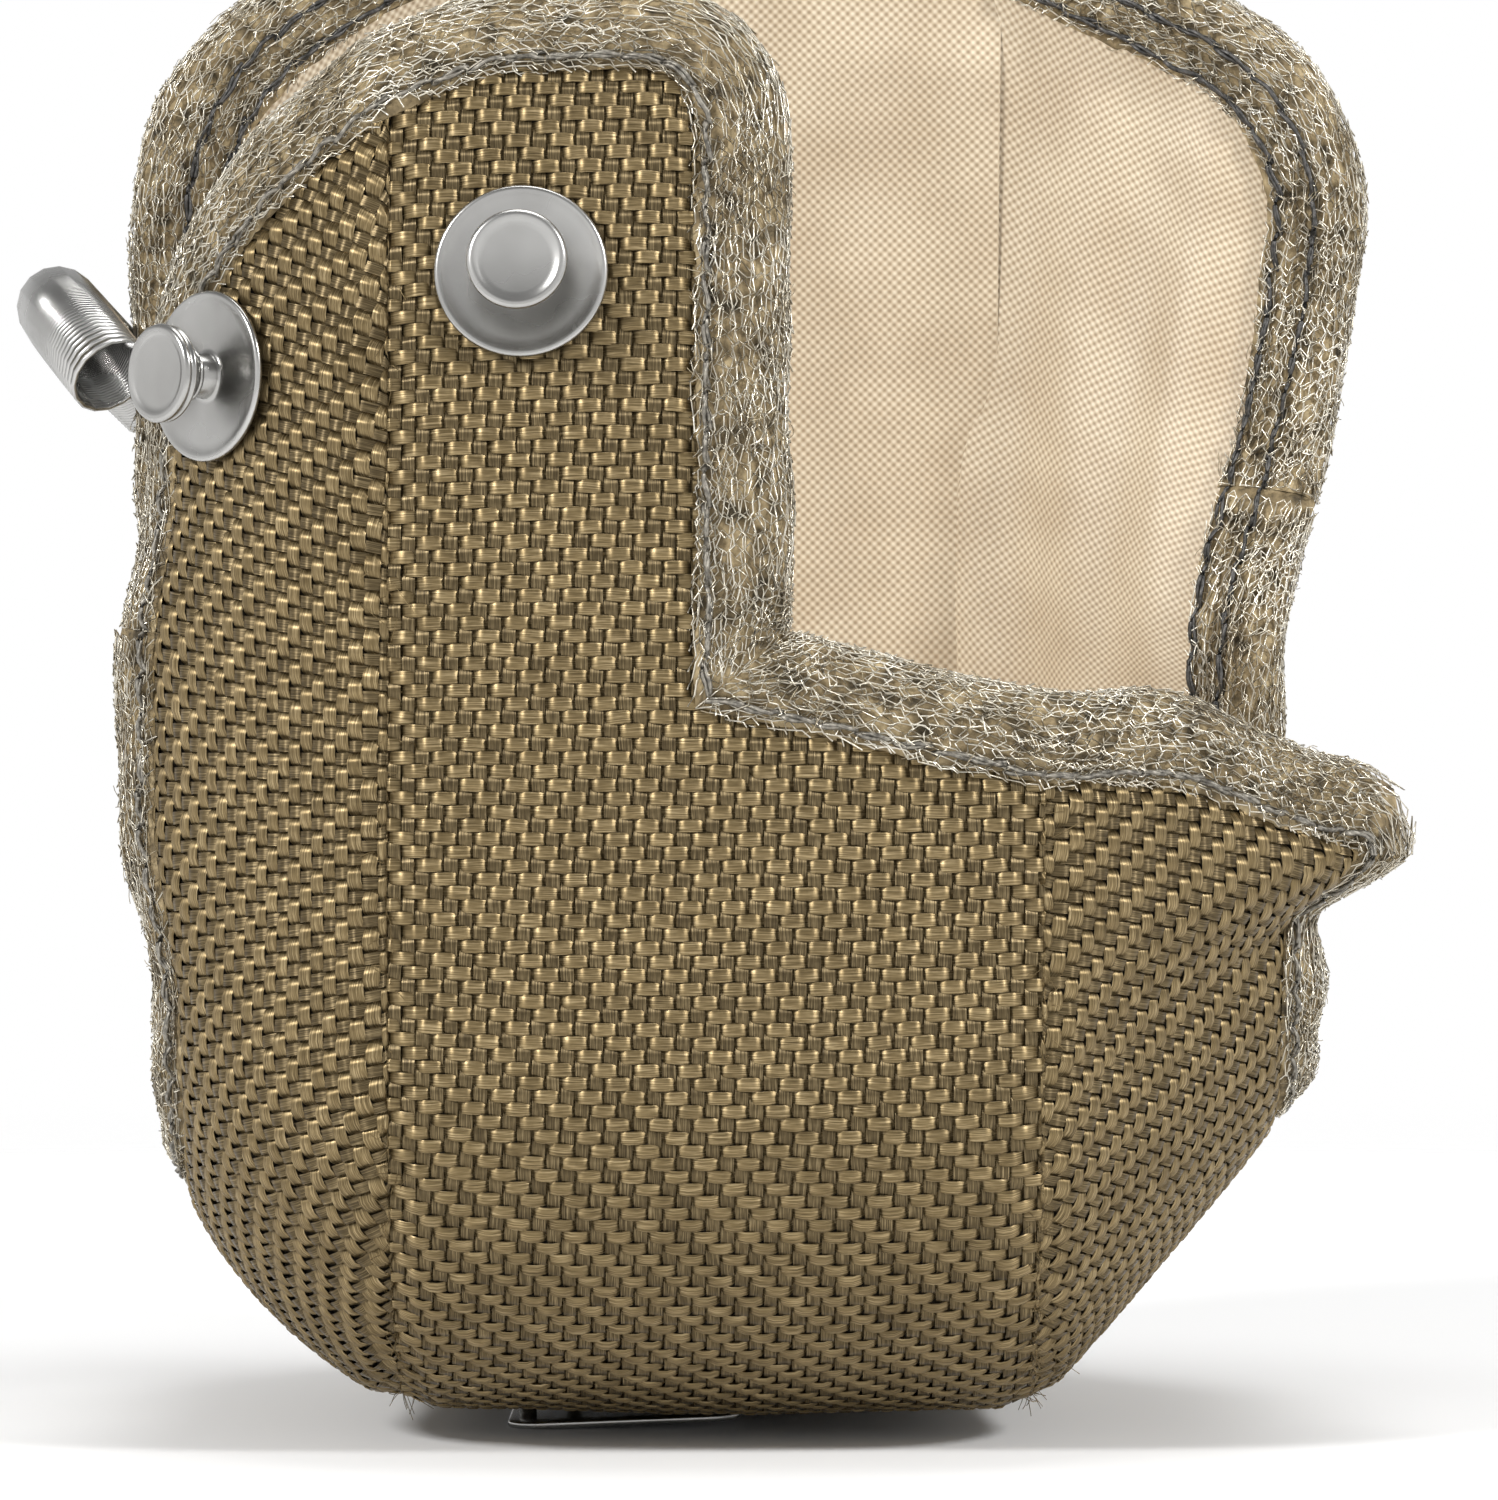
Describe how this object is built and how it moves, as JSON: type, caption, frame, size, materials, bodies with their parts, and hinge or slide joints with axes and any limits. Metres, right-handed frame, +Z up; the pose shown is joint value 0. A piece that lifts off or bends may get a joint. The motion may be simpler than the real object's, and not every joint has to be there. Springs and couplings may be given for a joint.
{
  "type": "turbo heat blanket",
  "caption": "U-shaped insulated cloth blanket for the turbine housing of a turbocharger, with mesh hems, lacing capstans, a closing spring and a belly plate.",
  "frame": {"origin": "centre of the bottom face of the bounding box, at the lowest edge of the belly plate", "axes": "+X along the shaft towards the outlet side, +Y to the rear leg, +Z up, out of the open side"},
  "size_m": [0.1648, 0.1486, 0.1884],
  "materials": {
    "twill": "glossy basalt-brown twill",
    "fibre": "matt needled fibre",
    "lining": "satin plain weave",
    "mesh": "knitted wire mesh",
    "steel": "bright stamped steel"
  },
  "bodies": {
    "root": {"left_cover": "twill", "strip_cover": "twill", "right_cover": "twill", "left_insulation": "fibre", "strip_insulation": "fibre", "right_insulation": "fibre", "left_lining": "lining", "strip_lining": "lining", "right_lining": "lining", "left_rim_hem": "mesh", "front_top_hem": "mesh", "right_rim_hem": "mesh", "rear_top_hem": "mesh", "capstan_a_base": "steel", "capstan_a_head": "steel", "capstan_a_backing": "steel", "capstan_b_base": "steel", "capstan_b_head": "steel", "capstan_b_backing": "steel", "capstan_c_base": "steel", "capstan_c_head": "steel", "capstan_c_backing": "steel", "capstan_d_base": "steel", "capstan_d_head": "steel", "capstan_d_backing": "steel", "closing_spring": "steel", "belly_plate": "steel", "plate_rivet_1": "steel", "plate_rivet_2": "steel"}
  },
  "joints": []
}
